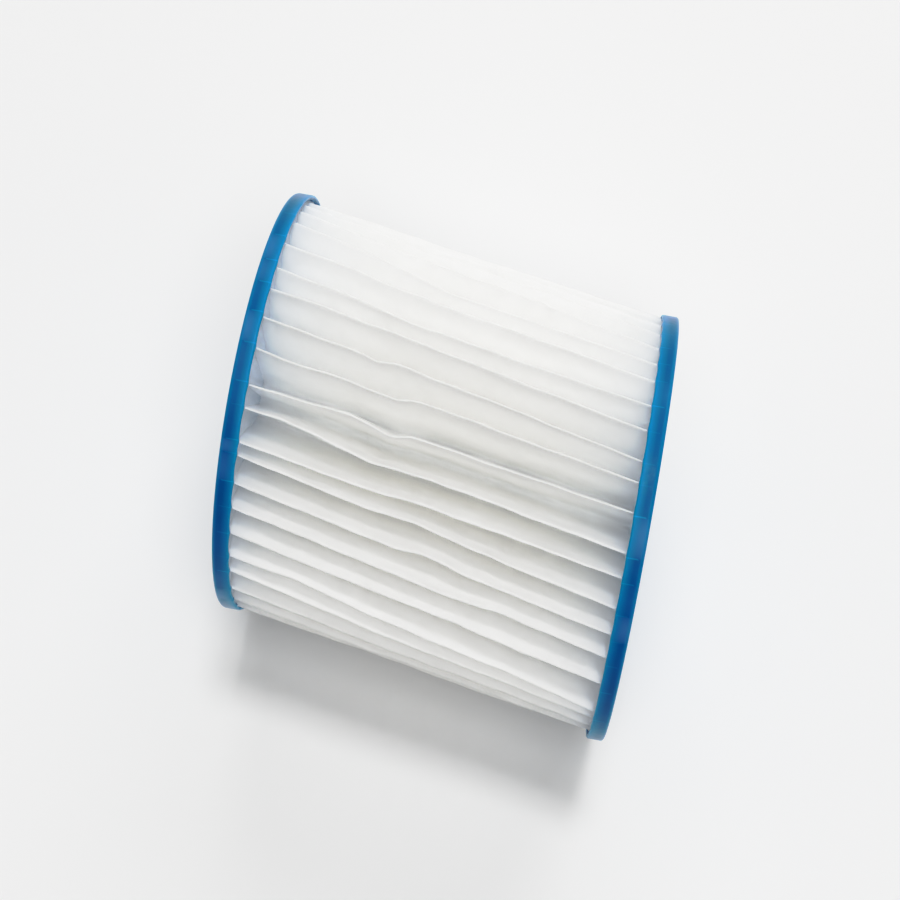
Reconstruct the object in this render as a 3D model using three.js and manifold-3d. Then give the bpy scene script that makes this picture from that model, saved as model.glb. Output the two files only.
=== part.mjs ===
// A pleated water-filter cartridge for a small pump, lying on its side.
//
// One long strip of white filter fabric is folded into pleats round a perforated core. On each end is
// a soft plastic ring, a shallow dish that the ends of the pleats and of the core are potted in.
// Water comes in through the pleats and leaves through the bore of either ring.
//
// Millimetres, +Z up. X runs from ring to ring, square to both of them. The part lies on the two
// rings with the surface at Z = 0. The soft pack leans: one ring sits further along Y than the
// other, and the pleats and the core run straight from one ring to the other along that lean.

import * as THREE from 'three';
import { mergeVertices } from 'three/addons/utils/BufferGeometryUtils.js';
import Module from 'manifold-3d';

const wasm = await Module();
wasm.setup();

// ---- driving dimensions ----------------------------------------------------------------------

const OUTER_RADIUS = 53; // of the end rings
const BORE_RADIUS = 24; // of the end rings
const LENGTH = 98.5; // from outer face to outer face
const LEAN = 15.4; // how much further along Y the ring at -X sits (0 is a straight one)

const RIM_DEPTH = 4; // of the lip that goes round the ends of the pleats
const RIM_GAP = 0.3; // between that lip and the tips of the pleats
const CAP_LEVEL = 2.2; // thickness of the plastic that the pleats and the core stand in
const CAP_FLOOR = 1.4; // how much of it is solid, below their ends
const CAP_EDGE = 0.8; // bevel of a ring's outer corners
const CAP_SEGMENTS = 72; // a multiple of 4, so that the ring lies on the middle of a flat

const PLEATS = 46;
const PLEAT_TIP_RADIUS = 51.6; // outside of the outer folds
const PLEAT_ROOT_RADIUS = 28.3; // inside of the inner folds
const FOLD_WIDTH = 1.6; // between the two walls of a fold, middle to middle
const MEDIA_THICKNESS = 0.6;
const SEAM_ANGLE = 208; // degrees from the top, towards +Y, where the strip's two ends meet

const SEAM_BEAD_DEPTH = 9; // of the glue between the two ends of the strip

const CORE_OUTER_RADIUS = 27.2;
const CORE_WALL = 1.7;
const CORE_END_BAND = 3; // plain wall at each end of the core
const CORE_SLOT_COLUMNS = 20;
const CORE_SLOT_ROWS = 5;
const CORE_SLOT_WIDTH = 3.2;
const CORE_SLOT_LENGTH = 13;
const CORE_SEGMENTS = 48;

const GAP = 0.3; // between the other pieces that touch

// ---- what follows from them ------------------------------------------------------------------

const CENTRE_HEIGHT = OUTER_RADIUS * Math.cos(Math.PI / CAP_SEGMENTS);
const PACK_LENGTH = LENGTH - 2 * (CAP_FLOOR + GAP); // of the fabric and of the core
const PITCH = (2 * Math.PI) / PLEATS;
const lean = new THREE.Matrix4().makeShear(-LEAN / LENGTH, 0, 0, 0, 0, 0);

// ---- materials -------------------------------------------------------------------------------

const bluePlastic = new THREE.MeshStandardMaterial({ color: 0x1270b8, roughness: 0.42, metalness: 0 });
const whiteFabric = new THREE.MeshStandardMaterial({ color: 0xf1f1ee, roughness: 0.9, metalness: 0 });
const whitePlastic = new THREE.MeshStandardMaterial({ color: 0xe6e8e8, roughness: 0.5, metalness: 0 });
const clearGlue = new THREE.MeshStandardMaterial({ color: 0xe2d9b8, roughness: 0.35, metalness: 0 });

// ---- helpers ---------------------------------------------------------------------------------

// A closed three.js geometry as a solid that can be joined and cut.
function toSolid(geometry) {
  const bare = geometry.clone();
  bare.deleteAttribute('normal');
  bare.deleteAttribute('uv');
  const merged = mergeVertices(bare);
  return new wasm.Manifold(new wasm.Mesh({
    numProp: 3,
    vertProperties: new Float32Array(merged.attributes.position.array),
    triVerts: new Uint32Array(merged.index.array),
  }));
}

function toGeometry(solid) {
  const mesh = solid.getMesh();
  const geometry = new THREE.BufferGeometry();
  geometry.setAttribute('position', new THREE.BufferAttribute(new Float32Array(mesh.vertProperties), 3));
  geometry.setIndex(new THREE.BufferAttribute(new Uint32Array(mesh.triVerts), 1));
  geometry.computeVertexNormals();
  return geometry;
}

// An outline in the plane of a ring, drawn as [along Y, along Z], made `length` long about X = 0.
function prismAlongX(outline, length) {
  const shape = new THREE.Shape(outline.map(([y, z]) => new THREE.Vector2(y, z)));
  const geometry = new THREE.ExtrudeGeometry(shape, { depth: length, bevelEnabled: false });
  const shapeToRing = new THREE.Matrix4().makeBasis(
    new THREE.Vector3(0, 1, 0),
    new THREE.Vector3(0, 0, 1),
    new THREE.Vector3(1, 0, 0),
  );
  return geometry.translate(0, 0, -length / 2).applyMatrix4(shapeToRing);
}

// A closed profile of [radius, along X] turned about the X axis, with a flat at the bottom.
function ringAboutX(profile, segments) {
  const points = [...profile, profile[0]].map(([radius, x]) => new THREE.Vector2(radius, x));
  const geometry = new THREE.LatheGeometry(points, segments, Math.PI / segments);
  return geometry.rotateZ(-Math.PI / 2);
}

// A plain ring of rectangular section from x = start to x = end.
function plainRing(innerRadius, outerRadius, start, end, segments) {
  const profile = [[innerRadius, start], [outerRadius, start], [outerRadius, end], [innerRadius, end]];
  return ringAboutX(profile, segments);
}

function named(name, geometry, material) {
  const mesh = new THREE.Mesh(geometry, material);
  mesh.name = name;
  return mesh;
}

// ---- the folded strip of fabric --------------------------------------------------------------

// A point at `radius` in the direction of `angle`, moved `across` at right angles to it. Angles
// are measured from the top, towards +Y.
function polar(radius, angle, across = 0) {
  const [outY, outZ] = [Math.sin(angle), Math.cos(angle)];
  return new THREE.Vector2(radius * outY + across * outZ, radius * outZ - across * outY);
}

// The middle line of the strip, from one end at the seam all the way round to the other. At the
// seam the outer fold is missing: the strip's two ends stand side by side there.
function stripLine() {
  const tip = PLEAT_TIP_RADIUS - MEDIA_THICKNESS / 2;
  const root = PLEAT_ROOT_RADIUS + MEDIA_THICKNESS / 2;
  const start = THREE.MathUtils.degToRad(SEAM_ANGLE);
  const line = [polar(tip, start, FOLD_WIDTH / 2)];
  for (let i = 0; i < PLEATS; i += 1) {
    const rootAngle = start + (i + 0.5) * PITCH;
    const tipAngle = start + (i + 1) * PITCH;
    line.push(polar(root, rootAngle, -FOLD_WIDTH / 2));
    line.push(polar(root, rootAngle, FOLD_WIDTH / 2));
    line.push(polar(tip, tipAngle, -FOLD_WIDTH / 2));
    if (i < PLEATS - 1) line.push(polar(tip, tipAngle, FOLD_WIDTH / 2));
  }
  return line;
}

// The line moved sideways by `distance`, to its left, with mitred corners.
function offsetLine(line, distance) {
  return line.map((point, i) => {
    const before = line[i - 1] ?? point.clone().multiplyScalar(2).sub(line[i + 1]);
    const after = line[i + 1] ?? point.clone().multiplyScalar(2).sub(line[i - 1]);
    const inward = point.clone().sub(before).normalize();
    const outward = after.clone().sub(point).normalize();
    const leftIn = new THREE.Vector2(-inward.y, inward.x);
    const leftOut = new THREE.Vector2(-outward.y, outward.x);
    const mitre = leftIn.clone().add(leftOut).normalize();
    return point.clone().addScaledVector(mitre, distance / mitre.dot(leftOut));
  });
}

// The strip with a given thickness, made longer at its two cut ends by `extra`.
function foldedStrip(thickness, length, extra = 0) {
  const line = stripLine();
  for (const [end, next] of [[0, 1], [line.length - 1, line.length - 2]]) {
    const along = line[end].clone().sub(line[next]).normalize();
    line[end] = line[end].clone().addScaledVector(along, extra);
  }
  const left = offsetLine(line, thickness / 2);
  const right = offsetLine(line, -thickness / 2);
  const outline = [...left, ...right.reverse()].map((point) => [point.x, point.y]);
  return prismAlongX(outline, length).applyMatrix4(lean);
}

// The bead of glue that joins the strip's two ends, between their two walls.
function seamBead() {
  const angle = THREE.MathUtils.degToRad(SEAM_ANGLE);
  const halfWidth = (FOLD_WIDTH - MEDIA_THICKNESS) / 2 - GAP;
  const corners = [
    [0, -halfWidth],
    [0, halfWidth],
    [-SEAM_BEAD_DEPTH, halfWidth],
    [-SEAM_BEAD_DEPTH, -halfWidth],
  ];
  const outline = corners.map(([inwards, across]) => {
    const point = polar(PLEAT_TIP_RADIUS - GAP + inwards, angle, across);
    return [point.x, point.y];
  });
  const betweenCaps = LENGTH - 2 * (RIM_DEPTH + GAP);
  return prismAlongX(outline, betweenCaps).applyMatrix4(lean);
}

// ---- the core --------------------------------------------------------------------------------

// A tube with rows of slots that let the water through.
function perforatedCore() {
  const innerRadius = CORE_OUTER_RADIUS - CORE_WALL;
  const tube = plainRing(innerRadius, CORE_OUTER_RADIUS, -PACK_LENGTH / 2, PACK_LENGTH / 2, CORE_SEGMENTS);
  const rowStep = (PACK_LENGTH - 2 * CORE_END_BAND) / CORE_SLOT_ROWS;
  let core = toSolid(tube);
  for (let row = 0; row < CORE_SLOT_ROWS; row += 1) {
    const middle = (row - (CORE_SLOT_ROWS - 1) / 2) * rowStep;
    for (let column = 0; column < CORE_SLOT_COLUMNS; column += 1) {
      const slot = new THREE.BoxGeometry(CORE_SLOT_LENGTH, CORE_SLOT_WIDTH, 3 * CORE_WALL);
      slot.translate(middle, 0, innerRadius + CORE_WALL / 2);
      slot.rotateX(((column + 0.5) * 2 * Math.PI) / CORE_SLOT_COLUMNS);
      core = core.subtract(toSolid(slot));
    }
  }
  return toGeometry(core).applyMatrix4(lean);
}

// ---- the end rings ---------------------------------------------------------------------------

// The ring at X = side * LENGTH / 2: a dish whose lip goes round the tips of the pleats.
function endCap(side) {
  const face = (side * LENGTH) / 2;
  const inwards = (distance) => face - side * distance;
  const lipRadius = PLEAT_TIP_RADIUS + RIM_GAP;
  const profile = [
    [BORE_RADIUS, inwards(CAP_EDGE)],
    [BORE_RADIUS + CAP_EDGE, inwards(0)],
    [OUTER_RADIUS - CAP_EDGE, inwards(0)],
    [OUTER_RADIUS, inwards(CAP_EDGE)],
    [OUTER_RADIUS, inwards(RIM_DEPTH)],
    [lipRadius, inwards(RIM_DEPTH)],
    [lipRadius, inwards(CAP_LEVEL)],
    [BORE_RADIUS, inwards(CAP_LEVEL)],
  ];
  if (side > 0) profile.reverse(); // so that the faces point out
  const ring = ringAboutX(profile, CAP_SEGMENTS).translate(0, (-side * LEAN) / 2, 0);

  const roomLength = LENGTH - 2 * CAP_FLOOR;
  const roomForStrip = foldedStrip(MEDIA_THICKNESS + 2 * GAP, roomLength, GAP);
  const roomForCore = plainRing(
    CORE_OUTER_RADIUS - CORE_WALL - GAP,
    CORE_OUTER_RADIUS + GAP,
    -roomLength / 2,
    roomLength / 2,
    CORE_SEGMENTS,
  ).applyMatrix4(lean);
  return toGeometry(toSolid(ring).subtract(toSolid(roomForStrip)).subtract(toSolid(roomForCore)));
}

// ---- the cartridge ---------------------------------------------------------------------------

const cartridge = new THREE.Group();
cartridge.add(
  named('left_end_cap', endCap(-1), bluePlastic),
  named('right_end_cap', endCap(1), bluePlastic),
  named('pleated_media', foldedStrip(MEDIA_THICKNESS, PACK_LENGTH), whiteFabric),
  named('media_seam_bead', seamBead(), clearGlue),
  named('perforated_core', perforatedCore(), whitePlastic),
);
cartridge.position.z = CENTRE_HEIGHT;

export default cartridge;
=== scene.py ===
"""The looks of a pleated pump-filter cartridge that lies on its side.

Lengths are in metres. Angles round the pack are in degrees from the top, towards +Y. Shares run
from 0 at the left end of the fabric to 1 at its right end. The rings' places and sizes come from
the frame; what is named below is what the frame doesn't say.
"""

import math
import random

import bpy
import numpy as np
from mathutils import Matrix, Vector
from mathutils.kdtree import KDTree


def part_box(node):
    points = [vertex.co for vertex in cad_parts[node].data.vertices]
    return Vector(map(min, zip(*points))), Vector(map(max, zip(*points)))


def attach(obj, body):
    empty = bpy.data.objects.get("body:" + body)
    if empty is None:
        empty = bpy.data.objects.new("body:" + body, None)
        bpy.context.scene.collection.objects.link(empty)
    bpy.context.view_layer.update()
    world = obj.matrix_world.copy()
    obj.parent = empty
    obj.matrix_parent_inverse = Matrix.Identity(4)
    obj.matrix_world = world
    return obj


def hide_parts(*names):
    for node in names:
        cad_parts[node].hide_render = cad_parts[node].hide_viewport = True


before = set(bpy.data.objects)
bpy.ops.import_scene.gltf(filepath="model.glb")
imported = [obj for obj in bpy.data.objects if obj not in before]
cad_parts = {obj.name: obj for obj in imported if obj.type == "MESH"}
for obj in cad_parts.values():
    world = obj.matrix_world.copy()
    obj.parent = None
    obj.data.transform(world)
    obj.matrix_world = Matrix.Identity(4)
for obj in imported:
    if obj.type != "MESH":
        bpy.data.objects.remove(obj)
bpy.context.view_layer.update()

MM = 0.001
random.seed(7)

# ---- the camera ------------------------------------------------------------------------------

VIEW_AZIMUTH = 11.87  # degrees; 0 looks along +Y
VIEW_ELEVATION = 72.83
VIEW_ROLL = -1.14
VIEW_DISTANCE = 484.1 * MM
VIEW_AIM = Vector((-0.7, 3.6, 0.0)) * MM  # from the middle of the cartridge
LENS_MM = 77.2
SENSOR_MM = 36.0

# ---- the pleats ------------------------------------------------------------------------------

PLEATS = 46
TIP_RADIUS = 51.7 * MM  # outside of the outer folds
ROOT_RADIUS = 28.2 * MM  # inside of the inner folds
TIP_CREASE = 0.24 * MM  # radius of an outer fold
ROOT_CREASE = 0.95 * MM
SEAM_CREASE = 0.55 * MM  # half the gap between the strip's two ends, where they are glued
SEAM_ANGLE = 208.0
STATIONS = 96  # cross-sections from ring to ring
WALL_STEPS = (0.03, 0.08, 0.15, 0.25, 0.40, 0.60, 0.80)  # down a wall, from its outer fold
BEND_BLUR = 0.014  # share over which a bend in a fold is rounded
CRUMPLE_SIZE = 0.16  # mm, in or out
CRUMPLE_WAVES = 5  # to a wall
MEAN_DIP = 0.1  # mm, by which the outer folds stand inside TIP_RADIUS on average
UNEVEN_SPACING = 0.9  # degrees, either way, of the folds that face away from the camera

# Random waves along the folds, as their sizes and their turns from ring to ring.
AWAY_SWAY = ((0.7,), (0.7,))  # degrees, of the folds that face away from the camera
FOLD_WAVES = ((0.10, 0.06), (4.0, 11.0))  # degrees
DIP_WAVES = ((0.16, 0.07), (1.6, 7.0))  # mm
BOW_WAVES = ((0.22, 0.12, 0.04), (1.2, 3.5, 9.0))  # mm, of the walls

# The outer folds that face the camera, lowest first: (share, angle) where each one starts, bends
# and ends.
SEEN_FOLDS = (
    ((0.0, -78.0), (1.0, -88.0)),
    ((0.0, -68.5), (0.5, -75.0), (1.0, -80.0)),
    ((0.0, -62.5), (0.2, -63.0), (0.37, -66.0), (0.55, -68.5), (0.8, -72.0), (1.0, -76.0)),
    ((0.0, -54.0), (0.5, -57.5), (1.0, -62.0)),
    ((0.0, -46.0), (0.62, -50.3), (0.7, -49.8), (1.0, -52.5)),
    ((0.0, -38.8), (0.45, -41.8), (0.5, -40.8), (0.62, -42.5), (1.0, -45.0)),
    ((0.0, -31.3), (0.38, -33.8), (0.47, -33.2), (0.62, -35.0), (1.0, -37.6)),
    ((0.0, -28.0), (0.38, -28.9), (0.48, -28.0), (1.0, -29.3)),
    ((0.0, -19.3), (0.12, -19.0), (0.35, -22.0), (0.5, -21.3), (1.0, -23.0)),
    ((0.0, -13.5), (0.28, -12.3), (0.38, -14.2), (0.43, -12.6), (1.0, -12.8)),
    ((0.0, -3.6), (0.13, -4.5), (0.2, -4.0), (0.38, -4.9), (0.42, -3.4), (1.0, -5.2)),
    ((0.0, 4.8), (0.28, 4.0), (0.31, 2.8), (0.36, 4.3), (1.0, 0.2)),
    ((0.0, 13.3), (0.12, 13.5), (0.4, 12.0), (0.55, 11.0), (1.0, 8.6)),
    ((0.0, 20.5), (0.2, 19.3), (0.38, 16.8), (1.0, 16.0)),
    ((0.0, 30.0), (0.22, 28.5), (0.28, 27.0), (1.0, 24.0)),
    ((0.0, 41.0), (0.17, 38.5), (0.28, 36.0), (0.44, 32.0), (1.0, 30.4)),
    ((0.0, 49.5), (0.3, 44.5), (1.0, 37.3)),
)

# ---- the end rings ---------------------------------------------------------------------------

BORE_RADIUS = 24.0 * MM
RING_CORNER = 0.65 * MM
LIP_THICKNESS = 1.15 * MM  # of the rim that goes round the ends of the pleats
LIP_CORNER = 0.40 * MM
RING_LEVEL = 1.9 * MM  # thickness of the ring inside its lip
POTTING_LEVEL = 2.4 * MM  # of the glue in the ring, from the ring's outer face
POTTING_INNER_RADIUS = 25.0 * MM
POTTING_OVERLAP = 0.1 * MM  # of the glue's underside with the ring
POTTING_BEVEL = 0.2 * MM  # at the glue's inner edge
CREEP_HEIGHT = 1.4 * MM  # how far plastic and glue climb up the fabric
CREEP_REACH = 1.0 * MM  # over which the climb fades
LIP_CREEP = 0.2  # the lip's climb, next to the glue's
RIPPLE = 0.02 * MM  # of the glue's surface and of the lip's edge
RIPPLE_TURNS = (3, 7, 12, 19, 31)  # of its waves, once round a ring
RING_SHADE_REACH = 9.0 * MM  # how far from a ring the painted shade, tinted blue, reaches into the fabric, ever more faintly
RING_SHADE_SPREAD = 3.0 * MM  # between the places where the painted shade reaches furthest and least far
RING_SHADE_FADE = 3.0  # power of the fade
# Over the rim, as shares of its width from the outer face: the painted highlight along its edges and
# the painted sheen across it.
RIM_SHARES = (0.0, 0.12, 0.25, 0.45, 0.62, 0.85, 1.0)
RIM_PAINTED_HIGHLIGHT = (0.45, 0.30, 0.05, 0.0, 0.15, 0.40, 0.60)
RIM_PAINTED_SHEEN = (0.2, 0.6, 1.0, 1.0, 0.6, 0.1, 0.0)
LINE_START = 0.3  # share of the rim at which the pale lines over the folds' ends start
LINE_LEAST = 0.1  # paleness of the faintest line, and how much paler another can be
LINE_SPREAD = 0.5
PAINTED_SHEEN_MOST = 0.6  # painted sheen of a patch on the rim between two folds, at most
# Places of a ring's columns of points, from one fold's end to the next.
COLUMN_STEPS = (0.0, 0.03, 0.07, 0.13, 0.21, 0.30, 0.40, 0.50, 0.60, 0.70, 0.79, 0.87, 0.93, 0.97)

# ---- the core and the seam -------------------------------------------------------------------

CORE_OUTER_RADIUS = 27.2 * MM
CORE_WALL = 1.7 * MM
CORE_END_BAND = 3.0 * MM
SLOT_COLUMNS = 20
SLOT_ROWS = 5
SLOT_WIDTH = 3.2 * MM
SLOT_LENGTH = 13.0 * MM
SLOT_RIM = 0.8 * MM  # of close points beyond a slot's ends, which keep its corners tight
GLUE_STATIONS = 90
# Half of the glue's section: mm out from TIP_RADIUS, and mm to one side.
GLUE_OUTLINE = ((0.25, 0.0), (0.15, 0.46), (-0.5, 0.50), (-4.0, 0.46), (-8.3, 0.50), (-9.0, 0.2))
GLUE_LUMPS = ((0.10, 190.0), (0.06, 70.0), (0.12, 31.0))  # mm, and radians for every GLUE_SPAN
GLUE_SPAN = 90.0 * MM

# ---- the room --------------------------------------------------------------------------------

FLOOR_HALF = 4.0  # half a side of the floor
LIGHTS = (  # name, place, diameter and watts
    ("lamp", (0.12, 0.74, 3.40), 0.6, 36.0),
    ("window", (0.2, 2.8, 2.1), 2.6, 42.0),
    ("overhead", (0.3, -0.8, 2.9), 1.8, 39.0),
)
WORLD_COLOUR = (1.0, 0.99, 0.97, 1.0)
WORLD_STRENGTH = 0.128
BOUNCES = 40  # light comes out of the deep pleats after many
# The tone curve: light as it is, and as it is shown.
TONES = ((0.11, 0.05), (0.24, 0.19), (0.46, 0.41), (0.62, 0.65), (0.88, 0.885))
WHITEST = (1.0, 0.94)

# ---- places from the frame -------------------------------------------------------------------

left_low, left_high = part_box("left_end_cap")
right_low, right_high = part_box("right_end_cap")
pack_low, pack_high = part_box("pleated_media")
glue_low, glue_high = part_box("media_seam_bead")

RING_RADIUS = (left_high[2] - left_low[2]) / 2
RING_THICKNESS = left_high[0] - left_low[0]
CENTRE_HEIGHT = (left_high[2] + left_low[2]) / 2
LEFT_FACE = left_low[0]
RIGHT_FACE = right_high[0]
LEFT_CENTRE_Y = (left_low[1] + left_high[1]) / 2
RIGHT_CENTRE_Y = (right_low[1] + right_high[1]) / 2
LEAN = (RIGHT_CENTRE_Y - LEFT_CENTRE_Y) / (RIGHT_FACE - LEFT_FACE)  # along Y for each metre of X
PACK_START = pack_low[0]
PACK_LENGTH = pack_high[0] - pack_low[0]


def on_pack(x, across, up):
    """The point at x that stands `across` along Y and `up` along Z from the pack's middle line."""
    return (x, LEAN * x + across, CENTRE_HEIGHT + up)


# ---- helpers ---------------------------------------------------------------------------------


def mesh_object(name, points, faces, material, smooth=True):
    """A mesh object from points and faces, with one material."""
    mesh = bpy.data.meshes.new(name)
    mesh.from_pydata([tuple(p) for p in points], [], [tuple(f) for f in faces])
    mesh.materials.append(material)
    mesh.validate()
    mesh.update()
    if smooth:
        mesh.shade_smooth()
    piece = bpy.data.objects.new(name, mesh)
    bpy.context.scene.collection.objects.link(piece)
    return piece


def place(piece, slot, *nodes):
    """The piece rides on the cartridge and stands for CAD nodes, which it hides. slot is not used."""
    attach(piece, "root")
    if nodes:
        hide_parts(*nodes)


def grid_faces(rows, columns, closed_rows=False, closed_columns=False, flip=False):
    """Quads over a grid of points that are numbered row by row."""
    faces = []
    for r in range(rows if closed_rows else rows - 1):
        for c in range(columns if closed_columns else columns - 1):
            r2, c2 = (r + 1) % rows, (c + 1) % columns
            quad = (r * columns + c, r2 * columns + c, r2 * columns + c2, r * columns + c2)
            faces.append(quad[::-1] if flip else quad)
    return faces


# ---- materials -------------------------------------------------------------------------------


class Nodes:
    """Short names for making a material's nodes and links."""

    def __init__(self, name):
        self.material = bpy.data.materials.new(name)
        self.material.use_nodes = True
        self.tree = self.material.node_tree
        self.surface = self.tree.nodes["Principled BSDF"]
        self.output = self.tree.nodes["Material Output"]
        self.place = self.add("ShaderNodeTexCoord").outputs["Object"]

    def add(self, kind, **values):
        """A node, with its settings and its sockets' values by name."""
        node = self.tree.nodes.new(kind)
        for key, value in values.items():
            if hasattr(node, key):
                setattr(node, key, value)
            else:
                node.inputs[key.replace("_", " ").title()].default_value = value
        return node

    def link(self, source, target):
        """A link from an output to an input."""
        self.tree.links.new(source, target)

    def noise(self, scale, detail=3.0):
        """Noise over the piece. scale is in features to the metre."""
        noise = self.add("ShaderNodeTexNoise", scale=scale, detail=detail)
        self.link(self.place, noise.inputs["Vector"])
        return noise.outputs["Fac"]

    def ramp(self, factor, low, high, colours):
        """factor from low to high as a blend of two colours."""
        ramp = self.add("ShaderNodeValToRGB")
        ramp.color_ramp.elements[0].position = low
        ramp.color_ramp.elements[1].position = high
        for element, colour in zip(ramp.color_ramp.elements, colours):
            element.color = (*colour, 1.0)
        self.link(factor, ramp.inputs["Fac"])
        return ramp.outputs["Color"]

    def bump(self, height, distance, strength, under=None):
        """A normal with the height's relief on it, over the relief of `under`."""
        bump = self.add("ShaderNodeBump", strength=strength, distance=distance)
        self.link(height, bump.inputs["Height"])
        if under:
            self.link(under, bump.inputs["Normal"])
        return bump.outputs["Normal"]


def painted_ring_shade(n):
    """0 in the open fabric, growing to 1 at its ends, where shade and blue bounce light from the
    rings are painted on.
    """
    apart = n.add("ShaderNodeSeparateXYZ")
    n.link(n.place, apart.inputs["Vector"])
    from_middle = n.add("ShaderNodeMath", operation="ABSOLUTE")
    n.link(apart.outputs["X"], from_middle.inputs[0])
    uneven = n.add("ShaderNodeMath", operation="MULTIPLY_ADD")
    n.link(n.noise(90.0), uneven.inputs[0])
    uneven.inputs[1].default_value = RING_SHADE_SPREAD
    n.link(from_middle.outputs["Value"], uneven.inputs[2])
    near = n.add("ShaderNodeMapRange")
    n.link(uneven.outputs["Value"], near.inputs["Value"])
    near.inputs["From Min"].default_value = PACK_LENGTH / 2 + RING_SHADE_SPREAD / 2 - RING_SHADE_REACH
    near.inputs["From Max"].default_value = PACK_LENGTH / 2 + RING_SHADE_SPREAD / 2
    painted_shade = n.add("ShaderNodeMath", operation="POWER")
    n.link(near.outputs["Result"], painted_shade.inputs[0])
    painted_shade.inputs[1].default_value = RING_SHADE_FADE
    return painted_shade.outputs["Value"]


def spunbond():
    """Thin white nonwoven polyester: matt, cloudy, and light comes through it. Bluish shade is
    painted on next to the rings.
    """
    n = Nodes("spunbond_polyester")
    cloud = n.noise(240.0, detail=6.0)
    fabric_colour = n.ramp(cloud, 0.35, 0.65, ((0.976, 0.975, 0.971), (0.996, 0.995, 0.991)))
    # painted shade: the fabric turns bluish grey towards the rings, standing in for their shade and
    # blue bounce light
    mixed = n.add("ShaderNodeMix", data_type="RGBA")
    n.link(painted_ring_shade(n), mixed.inputs["Factor"])
    n.link(fabric_colour, mixed.inputs["A"])
    mixed.inputs["B"].default_value = (0.87, 0.90, 0.94, 1.0)
    colour = mixed.outputs["Result"]
    n.link(colour, n.surface.inputs["Base Color"])
    n.surface.inputs["Roughness"].default_value = 0.85
    n.surface.inputs["Specular IOR Level"].default_value = 0.2
    fibres = n.bump(n.noise(5200.0, detail=6.0), 0.03 * MM, 0.5)
    formed = n.bump(cloud, 0.16 * MM, 0.5, under=fibres)
    n.link(formed, n.surface.inputs["Normal"])
    through = n.add("ShaderNodeBsdfTranslucent")
    n.link(colour, through.inputs["Color"])
    n.link(formed, through.inputs["Normal"])
    both = n.add("ShaderNodeMixShader")
    both.inputs["Fac"].default_value = 0.5
    n.link(n.surface.outputs["BSDF"], both.inputs[1])
    n.link(through.outputs["BSDF"], both.inputs[2])
    n.link(both.outputs["Shader"], n.output.inputs["Surface"])
    return n.material


def blue_plastic():
    """Soft cast plastic: satin and slightly see-through, with a painted highlight along the rim's
    edges, paler lines where a fold's end is close behind it, and painted sheen in patches on the rim."""
    n = Nodes("blue_cast_plastic")
    cloud = n.noise(90.0, detail=2.0)
    deep = n.ramp(cloud, 0.35, 0.65, ((0.0, 0.142, 0.325), (0.0, 0.160, 0.360)))
    # painted highlight: the rim is paler along both its edges, where they catch light; the pale lines
    # over the folds' ends are the white fabric showing through
    lines_and_painted_highlight = n.add("ShaderNodeAttribute", attribute_name="lines_and_painted_highlight")
    colour = n.add("ShaderNodeMix", data_type="RGBA")
    n.link(lines_and_painted_highlight.outputs["Fac"], colour.inputs["Factor"])
    n.link(deep, colour.inputs["A"])
    colour.inputs["B"].default_value = (0.005, 0.40, 0.70, 1.0)
    # painted sheen: a whitish haze on the rim that stands in for the satin plastic's reflection of
    # the bright room
    painted_sheen = n.add("ShaderNodeAttribute", attribute_name="painted_sheen")
    with_painted_sheen = n.add("ShaderNodeMix", data_type="RGBA")
    n.link(painted_sheen.outputs["Fac"], with_painted_sheen.inputs["Factor"])
    n.link(colour.outputs["Result"], with_painted_sheen.inputs["A"])
    with_painted_sheen.inputs["B"].default_value = (0.19, 0.35, 0.68, 1.0)
    n.link(with_painted_sheen.outputs["Result"], n.surface.inputs["Base Color"])
    n.surface.inputs["Specular IOR Level"].default_value = 0.12
    n.surface.inputs["Sheen Weight"].default_value = 0.5
    n.surface.inputs["Sheen Roughness"].default_value = 0.4
    n.surface.inputs["Sheen Tint"].default_value = (0.75, 0.88, 1.0, 1.0)
    n.surface.inputs["Subsurface Weight"].default_value = 0.25
    n.surface.inputs["Subsurface Radius"].default_value = (0.6, 2.2, 4.0)
    n.surface.inputs["Subsurface Scale"].default_value = 1.0 * MM
    rough = n.ramp(n.noise(900.0, detail=4.0), 0.3, 0.7, ((0.30, 0.30, 0.30), (0.42, 0.42, 0.42)))
    n.link(rough, n.surface.inputs["Roughness"])
    n.link(n.bump(n.noise(420.0, detail=3.0), 0.06 * MM, 0.4), n.surface.inputs["Normal"])
    return n.material


def white_plastic():
    """Moulded polypropylene of the core."""
    n = Nodes("white_core_plastic")
    colour = n.ramp(n.noise(90.0), 0.3, 0.7, ((0.86, 0.87, 0.87), (0.91, 0.92, 0.92)))
    n.link(colour, n.surface.inputs["Base Color"])
    rough = n.ramp(n.noise(700.0), 0.3, 0.7, ((0.38, 0.38, 0.38), (0.50, 0.50, 0.50)))
    n.link(rough, n.surface.inputs["Roughness"])
    n.link(n.bump(n.noise(1400.0), 0.03 * MM, 0.4), n.surface.inputs["Normal"])
    return n.material


def cloudy_glue(name, darker, lighter):
    """Set glue, cloudy between two colours."""
    n = Nodes(name)
    colour = n.ramp(n.noise(300.0), 0.3, 0.7, (darker, lighter))
    n.link(colour, n.surface.inputs["Base Color"])
    n.surface.inputs["Roughness"].default_value = 0.4
    n.link(n.bump(n.noise(260.0), 0.2 * MM, 0.5), n.surface.inputs["Normal"])
    return n.material


def table_top():
    """The plain pale surface under the cartridge."""
    n = Nodes("table_top")
    n.surface.inputs["Base Color"].default_value = (0.88, 0.88, 0.88, 1.0)
    n.surface.inputs["Roughness"].default_value = 0.7
    return n.material


# ---- the folded strip ------------------------------------------------------------------------


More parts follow.
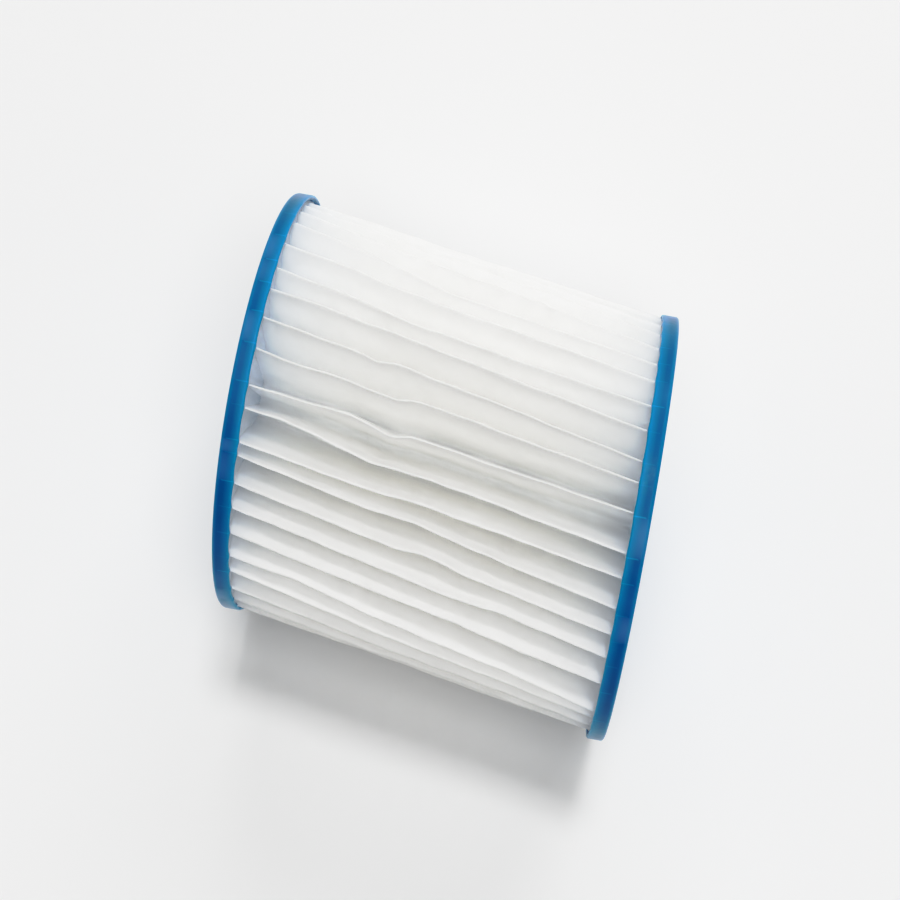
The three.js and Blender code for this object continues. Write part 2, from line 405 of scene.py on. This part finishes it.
def fold_line(stops):
    """Angles of one outer fold at every station, with its bends rounded."""
    shares = np.linspace(0.0, 1.0, STATIONS)
    fine = np.linspace(-0.1, 1.1, 601)
    straight = np.interp(fine, *zip(*stops))
    weights = np.exp(-(((fine[:, None] - shares[None, :]) / BEND_BLUR) ** 2))
    return (straight[:, None] * weights).sum(axis=0) / weights.sum(axis=0)


def wander(sizes, waves):
    """A soft random wave over the stations that is still at both ends."""
    shares = np.linspace(0.0, 1.0, STATIONS)
    wave = np.zeros(STATIONS)
    for size, turns in zip(sizes, waves):
        pace = turns * random.uniform(0.8, 1.2)
        wave += size * np.sin(random.uniform(0, math.tau) + math.tau * pace * shares)
    return wave * np.sin(math.pi * shares) ** 0.5


def all_folds():
    """Angles of all the outer folds at every station, one row a fold, through one whole turn."""
    seen = [fold_line(stops) for stops in SEEN_FOLDS]
    unseen = PLEATS - len(seen)
    first, last = seen[0] + 360.0, seen[-1]
    rest = []
    for i in range(unseen):
        share = (i + 1) / (unseen + 1)
        even = last + (first - last) * share
        rest.append(even + random.uniform(-UNEVEN_SPACING, UNEVEN_SPACING) + wander(*AWAY_SWAY))
    return np.array([row + wander(*FOLD_WAVES) for row in [*seen, *rest]])


def crumple_wave():
    """A wave over a wall: its phase, and its radians down the wall and from ring to ring."""
    return random.uniform(0, math.tau), random.uniform(-16, 16), random.uniform(30, 110)


FOLDS = all_folds()
SEAM_FOLD = int(np.argmin(np.abs(FOLDS[:, 0] - SEAM_ANGLE)))
ORDER = [(SEAM_FOLD + k) % PLEATS for k in range(PLEATS + 1)]  # once round, from seam to seam
FOLD_DIPS = [wander(*DIP_WAVES) - MEAN_DIP for _ in range(PLEATS)]
WALL_BOWS = [wander(*BOW_WAVES) for _ in range(2 * PLEATS)]
WALL_BOWS[0] = WALL_BOWS[-1] = np.zeros(STATIONS)  # glued to one another at the seam, so flat
CRUMPLES = [[crumple_wave() for _ in range(CRUMPLE_WAVES)] for _ in range(2 * PLEATS)]


def unit(angle):
    """Unit vector, along Y and Z, at an angle in degrees from the top towards +Y."""
    return np.array([math.sin(math.radians(angle)), math.cos(math.radians(angle))])


def turned(vector):
    """The vector turned a quarter round, towards growing angles."""
    return np.array([vector[1], -vector[0]])


def arc_directions(first, through, last, steps):
    """Unit vectors from the direction first to last by way of through."""
    start, middle, end = (math.atan2(*direction) for direction in (first, through, last))
    before = (middle - start + math.pi) % math.tau - math.pi
    after = (end - middle + math.pi) % math.tau - math.pi
    angles = [start + (before + after) * k / (steps - 1) for k in range(steps)]
    return [np.array([math.sin(a), math.cos(a)]) for a in angles]


def wall(tip_centre, tip_angle, crease, root_centre, side):
    """Where a wall leaves its outer fold, where it meets its inner one, and its outside."""
    along = root_centre - tip_centre
    length = np.linalg.norm(along)
    along = along / length
    across = side * turned(unit(tip_angle))
    across = across - along * across.dot(along)
    across = across / np.linalg.norm(across)
    tilt = math.asin((crease + ROOT_CREASE) / length)
    outside = across * math.cos(tilt) + along * math.sin(tilt)
    return tip_centre + crease * outside, root_centre - ROOT_CREASE * outside, outside


def crumple(number, v, share):
    """Small unevenness of a wall, from -1 to 1, at v down it and at a share from ring to ring."""
    return sum(
        math.sin(phase + down * v + along * share) for phase, down, along in CRUMPLES[number]
    ) / len(CRUMPLES[number])


def wall_points(start, end, outside, number, station):
    """Points down a wall that is bowed and crumpled a little, each with its outside."""
    share = station / (STATIONS - 1)
    points = []
    for v in WALL_STEPS:
        shift = WALL_BOWS[number][station] * math.sin(math.pi * v**0.6)
        shift += CRUMPLE_SIZE * crumple(number, v, share) * math.sin(math.pi * v**0.4)
        points.append((start + (end - start) * v + outside * shift * MM, outside))
    return points


def strip_section(station):
    """The strip's middle line at a station, from the seam once round to the seam: a list of
    points, along Y and Z from the pack's middle line, each with the direction of its outside."""
    angles = np.degrees(np.unwrap(np.radians(FOLDS[ORDER, station])))
    creases = [SEAM_CREASE] + [TIP_CREASE] * (PLEATS - 1) + [SEAM_CREASE]
    tips = []
    for fold, angle, crease in zip(ORDER, angles, creases):
        reach = TIP_RADIUS + FOLD_DIPS[fold][station] * MM
        tips.append(unit(angle) * (reach - crease))
    line = []
    for k in range(PLEATS):
        root_angle = (angles[k] + angles[k + 1]) / 2
        root = unit(root_angle) * (ROOT_RADIUS + ROOT_CREASE)
        down = wall(tips[k], angles[k], creases[k], root, 1.0)
        up = wall(tips[k + 1], angles[k + 1], creases[k + 1], root, -1.0)
        if k == 0:
            line.append((down[0], down[2]))
        line += wall_points(*down, 2 * k, station)
        for d in arc_directions(-down[2], -unit(root_angle), -up[2], 3):
            line.append((root + ROOT_CREASE * d, -d))
        line += wall_points(*up, 2 * k + 1, station)[::-1]
        if k == PLEATS - 1:
            line.append((up[0], up[2]))
            continue
        following = unit((angles[k + 1] + angles[k + 2]) / 2) * np.linalg.norm(root)
        next_outside = wall(tips[k + 1], angles[k + 1], creases[k + 1], following, 1.0)[2]
        for d in arc_directions(up[2], unit(angles[k + 1]), next_outside, 5):
            line.append((tips[k + 1] + creases[k + 1] * d, d))
    return line


def make_strip(material):
    """The strip as one sheet, and its developed length."""
    points = []
    for station in range(STATIONS):
        x = PACK_START + PACK_LENGTH * station / (STATIONS - 1)
        points += [on_pack(x, *point) for point, _ in strip_section(station)]
    count = len(points) // STATIONS
    middle = np.array([point for point, _ in strip_section(STATIONS // 2)])
    developed = float(np.linalg.norm(np.diff(middle, axis=0), axis=1).sum())
    return mesh_object("pleated_fabric", points, grid_faces(STATIONS, count), material), developed


# ---- the cast rings --------------------------------------------------------------------------


def strip_tree(station):
    """A search tree of places on the strip at a station."""
    line = np.array([point for point, _ in strip_section(station)])
    places = []
    for a, b in zip(line[:-1], line[1:]):
        steps = max(1, int(np.linalg.norm(b - a) / (0.25 * MM)))
        places += [a + (b - a) * i / steps for i in range(steps)]
    tree = KDTree(len(places))
    for i, (y, z) in enumerate(places):
        tree.insert((y, z, 0.0), i)
    tree.balance()
    return tree


def corner(radius, depth, size, first, turn=90.0, steps=4):
    """Points round a corner of a ring's section, as (radius, depth), from the angle first on."""
    angles = [math.radians(first + turn * i / (steps - 1)) for i in range(steps)]
    return [(radius + size * math.cos(a), depth + size * math.sin(a)) for a in angles]


def between(start, end, steps):
    """Points between two places of a ring's section, without those two."""
    (r0, d0), (r1, d1) = start, end
    return [(r0 + (r1 - r0) * i / steps, d0 + (d1 - d0) * i / steps) for i in range(1, steps)]


def ring_section():
    """A ring's section once round, as (radius, depth below its outer face, creep). Creep is how
    much it climbs up the fabric there, from 0 to 1."""
    inner, outer = BORE_RADIUS + RING_CORNER, RING_RADIUS - RING_CORNER
    lip = RING_RADIUS - LIP_THICKNESS
    lip_depth = RING_THICKNESS - LIP_CORNER
    outside = between((inner, 0.0), (outer, 0.0), 8)
    outside += corner(outer, RING_CORNER, RING_CORNER, -90.0)
    outside += between((RING_RADIUS, RING_CORNER), (RING_RADIUS, lip_depth), 7)
    edge = corner(RING_RADIUS - LIP_CORNER, lip_depth, LIP_CORNER, 0.0)
    edge += corner(lip + LIP_CORNER, lip_depth, LIP_CORNER, 90.0)
    inside = [(lip, RING_LEVEL), (inner, RING_LEVEL)]
    inside += corner(inner, RING_LEVEL - RING_CORNER, RING_CORNER, 90.0)
    inside += corner(inner, RING_CORNER, RING_CORNER, 180.0)
    section = [(r, d, 0.0) for r, d in outside] + [(r, d, LIP_CREEP) for r, d in edge]
    return section + [(r, d, 0.0) for r, d in inside]


def potting_section():
    """The glue that fills a ring up to its level, in the same form."""
    lip = RING_RADIUS - LIP_THICKNESS
    bottom = RING_LEVEL - POTTING_OVERLAP
    top = between((lip, POTTING_LEVEL), (POTTING_INNER_RADIUS, POTTING_LEVEL), 44)
    section = [(POTTING_INNER_RADIUS, bottom, 0.0), (lip, bottom, 0.0), (lip, POTTING_LEVEL, 1.0)]
    section += [(r, d, 1.0) for r, d in top]
    return section + [(POTTING_INNER_RADIUS, POTTING_LEVEL - POTTING_BEVEL, 0.0)]


def make_ring(name, section, face, inwards, station, material):
    """A ring of that section with its outer face at x = face. inwards is +1 or -1, towards the
    fabric."""
    tips = np.sort(FOLDS[:, station] % 360.0)
    following = np.append(tips[1:], tips[0] + 360.0)
    columns = [tip + (after - tip) * v for tip, after in zip(tips, following) for v in COLUMN_STEPS]
    tree = strip_tree(station)
    lines = [LINE_LEAST + LINE_SPREAD * random.random() ** 2 for _ in tips]
    # painted sheen in random patches between the folds
    sheen_patches = [PAINTED_SHEEN_MOST * random.random() ** 4 for _ in tips]
    waves = [(random.uniform(0, math.tau), turns) for turns in RIPPLE_TURNS]
    face_y = LEFT_CENTRE_Y if inwards > 0 else RIGHT_CENTRE_Y
    points, lines_and_painted_highlight, painted_sheen = [], [], []
    for i, angle in enumerate(columns):
        out = unit(angle)
        ripple = sum(math.sin(phase + turns * math.radians(angle)) for phase, turns in waves)
        tip_number, step = divmod(i, len(COLUMN_STEPS))
        line = lines[tip_number] if step == 0 else 0.0
        sheen_patch = sheen_patches[tip_number] * math.sin(math.pi * COLUMN_STEPS[step]) ** 0.5
        for radius, depth, creep in section:
            y, z = out * radius
            x = face + inwards * depth
            if creep > 0.0:
                away = tree.find((face_y + y - LEAN * x, z, 0.0))[2]
                climb = CREEP_HEIGHT * math.exp(-away / CREEP_REACH) + RIPPLE * ripple
                x += inwards * creep * climb
            points.append((x, face_y + y, CENTRE_HEIGHT + z))
            # painted highlight along the rim's edges, plus pale lines where the folds' ends show
            # through
            on_rim = 1.0 if radius > RING_RADIUS - RING_CORNER else 0.0
            share = min(1.0, depth / RING_THICKNESS)
            lines_and_painted_highlight.append(on_rim * np.interp(share, RIM_SHARES, RIM_PAINTED_HIGHLIGHT) + line * (share > LINE_START))
            painted_sheen.append(on_rim * sheen_patch * np.interp(share, RIM_SHARES, RIM_PAINTED_SHEEN))
    faces = grid_faces(
        len(columns), len(section), closed_rows=True, closed_columns=True, flip=inwards > 0
    )
    ring = mesh_object(name, points, faces, material)
    ring.data.attributes.new("lines_and_painted_highlight", "FLOAT", "POINT").data.foreach_set("value", lines_and_painted_highlight)
    ring.data.attributes.new("painted_sheen", "FLOAT", "POINT").data.foreach_set("value", painted_sheen)
    return ring


# ---- the core and the seam's glue ------------------------------------------------------------


def make_core(material):
    """A tube with rows of slots with rounded corners."""
    slot_steps, bar_steps, length_steps = 4, 3, 8
    middle = CORE_OUTER_RADIUS - CORE_WALL / 2
    pitch = math.tau / SLOT_COLUMNS
    half_slot = math.asin(SLOT_WIDTH / 2 / middle)
    bar = pitch - 2 * half_slot
    turns, open_turn = [], []
    for column in range(SLOT_COLUMNS):
        start = (column + 0.5) * pitch - half_slot
        turns += [start + 2 * half_slot * i / slot_steps for i in range(slot_steps)]
        turns += [start + 2 * half_slot + bar * i / bar_steps for i in range(bar_steps)]
        open_turn += [True] * slot_steps + [False] * bar_steps
    row_step = (PACK_LENGTH - 2 * CORE_END_BAND) / SLOT_ROWS
    places, open_place = [-PACK_LENGTH / 2], []
    for row in range(SLOT_ROWS):
        slot_start = (row - (SLOT_ROWS - 1) / 2) * row_step - SLOT_LENGTH / 2
        places += [slot_start - SLOT_RIM]
        places += [slot_start + SLOT_LENGTH * i / length_steps for i in range(length_steps + 1)]
        places += [slot_start + SLOT_LENGTH + SLOT_RIM]
        open_place += [False, False] + [True] * length_steps + [False]
    places.append(PACK_LENGTH / 2)
    open_place.append(False)
    points = [
        on_pack(x, middle * math.sin(turn), middle * math.cos(turn)) for x in places for turn in turns
    ]
    faces = []
    for quad in grid_faces(len(places), len(turns), closed_columns=True):
        place_number, turn_number = divmod(quad[0], len(turns))
        if not (open_place[place_number] and open_turn[turn_number]):
            faces.append(quad)
    core = mesh_object("core_tube", points, faces, material)
    thick = core.modifiers.new("wall", "SOLIDIFY")
    thick.thickness = CORE_WALL
    thick.offset = 0.0
    soft = core.modifiers.new("soft_edges", "SUBSURF")
    soft.levels = 1
    soft.render_levels = 1
    return core


def make_glue(material):
    """The glue between the strip's two ends, lumpy where it was squeezed out."""
    outline = [*GLUE_OUTLINE, *((depth, -half) for depth, half in GLUE_OUTLINE[::-1] if half > 0.0)]
    phases = [[random.uniform(0, math.tau) for _ in GLUE_LUMPS] for _ in outline]
    points = []
    for i in range(GLUE_STATIONS):
        x = glue_low[0] + (glue_high[0] - glue_low[0]) * i / (GLUE_STATIONS - 1)
        share = (x - PACK_START) / PACK_LENGTH
        angle = np.interp(share, np.linspace(0.0, 1.0, STATIONS), FOLDS[SEAM_FOLD])
        out, across = unit(angle), turned(unit(angle))
        from_end = min(i, GLUE_STATIONS - 1 - i)
        width = 0.9 + 0.1 * min(1.0, 4.0 * from_end / GLUE_STATIONS)
        for (depth, half), starts in zip(outline, phases):
            lump = sum(
                size * math.sin(start + pace * x / GLUE_SPAN)
                for (size, pace), start in zip(GLUE_LUMPS, starts)
            )
            y, z = out * (TIP_RADIUS + (depth + lump) * MM) + across * half * width * MM
            points.append(on_pack(x, y, z))
    count = len(outline)
    faces = grid_faces(GLUE_STATIONS, count, closed_columns=True, flip=True)
    faces.append(tuple(range(count)))
    faces.append(tuple(reversed(range((GLUE_STATIONS - 1) * count, GLUE_STATIONS * count))))
    return mesh_object("seam_glue", points, faces, material)


# ---- the room --------------------------------------------------------------------------------


def area_light(name, place, size, power):
    """A round white light that shines at the cartridge."""
    data = bpy.data.lights.new(name, "AREA")
    data.shape = "DISK"
    data.size = size
    data.energy = power
    light = bpy.data.objects.new(name, data)
    light.location = place
    target = Vector((0.0, 0.0, CENTRE_HEIGHT))
    light.rotation_euler = (target - Vector(place)).to_track_quat("-Z", "Y").to_euler()
    bpy.context.scene.collection.objects.link(light)


def make_room():
    """Floor, lights and world."""
    corners = [(FLOOR_HALF * i, FLOOR_HALF * j, 0.0) for i, j in ((-1, -1), (1, -1), (1, 1), (-1, 1))]
    floor = mesh_object("floor", corners, [(0, 1, 2, 3)], table_top(), smooth=False)
    for light in LIGHTS:
        area_light(*light)
    world = bpy.data.worlds.new("white_room")
    world.use_nodes = True
    background = world.node_tree.nodes["Background"]
    background.inputs["Color"].default_value = WORLD_COLOUR
    background.inputs["Strength"].default_value = WORLD_STRENGTH
    bpy.context.scene.world = world


def make_camera():
    """A camera high in front of the cartridge."""
    data = bpy.data.cameras.new("camera")
    data.lens = LENS_MM
    data.sensor_width = SENSOR_MM
    data.clip_start = 0.01
    data.clip_end = 20.0
    camera = bpy.data.objects.new("camera", data)
    azimuth, elevation = math.radians(VIEW_AZIMUTH), math.radians(VIEW_ELEVATION)
    back = Vector((
        math.sin(azimuth) * math.cos(elevation),
        -math.cos(azimuth) * math.cos(elevation),
        math.sin(elevation),
    ))
    camera.location = Vector((0.0, 0.0, CENTRE_HEIGHT)) + VIEW_AIM + back * VIEW_DISTANCE
    turn = back.to_track_quat("Z", "Y").to_matrix() @ Matrix.Rotation(math.radians(VIEW_ROLL), 3, "Z")
    camera.rotation_euler = turn.to_euler()
    bpy.context.scene.collection.objects.link(camera)
    bpy.context.scene.camera = camera


def soft_whites():
    """A tone curve that keeps blues deep and whites soft."""
    view = bpy.context.scene.view_settings
    view.view_transform = "Standard"
    view.use_curve_mapping = True
    curve = view.curve_mapping.curves[3]
    for tone in TONES:
        curve.points.new(*tone)
    curve.points[-1].location = WHITEST
    view.curve_mapping.update()


# ---- the cartridge ---------------------------------------------------------------------------

make_camera()
make_room()
soft_whites()
bpy.context.scene.cycles.max_bounces = BOUNCES
bpy.context.scene.cycles.diffuse_bounces = BOUNCES
bpy.context.scene.cycles.transmission_bounces = BOUNCES

blue = blue_plastic()
# the glue's bluish grey tint is painted blue bounce light from the ring around it
potting = cloudy_glue("potting_painted_blue_bounce", (0.72, 0.79, 0.87), (0.78, 0.84, 0.91))
left_end = (LEFT_FACE, 1, 0)
right_end = (RIGHT_FACE, -1, STATIONS - 1)
left_ring = make_ring("left_cast_ring", ring_section(), *left_end, blue)
right_ring = make_ring("right_cast_ring", ring_section(), *right_end, blue)
left_potting = make_ring("left_potting_glue", potting_section(), *left_end, potting)
right_potting = make_ring("right_potting_glue", potting_section(), *right_end, potting)
core = make_core(white_plastic())
fabric, developed_length = make_strip(spunbond())
glue = make_glue(cloudy_glue("white_seam_glue", (0.78, 0.76, 0.70), (0.86, 0.85, 0.80)))

place(left_ring, "end_cap", "left_end_cap")
place(right_ring, "end_cap", "right_end_cap")
place(left_potting, "seam")
place(right_potting, "seam")
place(core, "core", "perforated_core")
place(fabric, "media", "pleated_media")
place(glue, "seam", "media_seam_bead")
